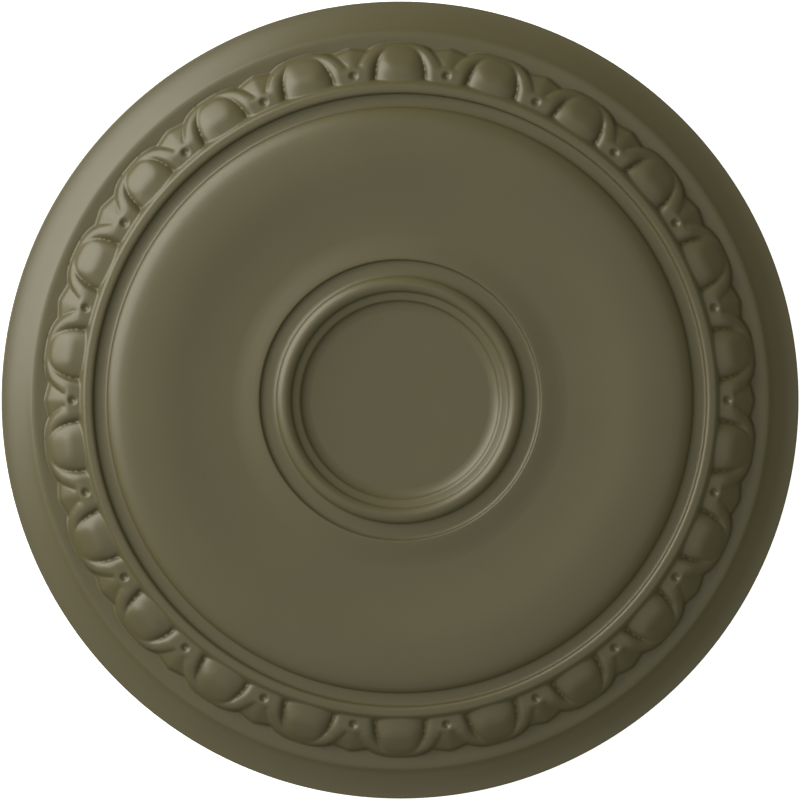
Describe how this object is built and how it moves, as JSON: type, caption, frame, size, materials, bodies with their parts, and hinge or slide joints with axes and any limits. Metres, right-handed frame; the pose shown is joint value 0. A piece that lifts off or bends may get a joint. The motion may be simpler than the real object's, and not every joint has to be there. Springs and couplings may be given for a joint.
{
  "type": "ceiling rose",
  "caption": "Round ceiling rose with an egg-and-dart band, a shallow dish and a ringed, recessed centre that takes a lamp canopy.",
  "frame": {"origin": "centre of the flat back, which goes against the ceiling", "axes": "+Z out of the carved face, which is down into the room once the rose is fixed; +X through the point of a dart; +Y through the middle of an egg. As stored it lies on its back, face up."},
  "size_m": [0.508, 0.508, 0.042],
  "materials": {
    "satin_olive_paint": "satin paint in a grey olive, sprayed on a smooth moulded foam casting"
  },
  "bodies": {
    "root": {"ceiling_rose": "satin_olive_paint"}
  },
  "joints": []
}
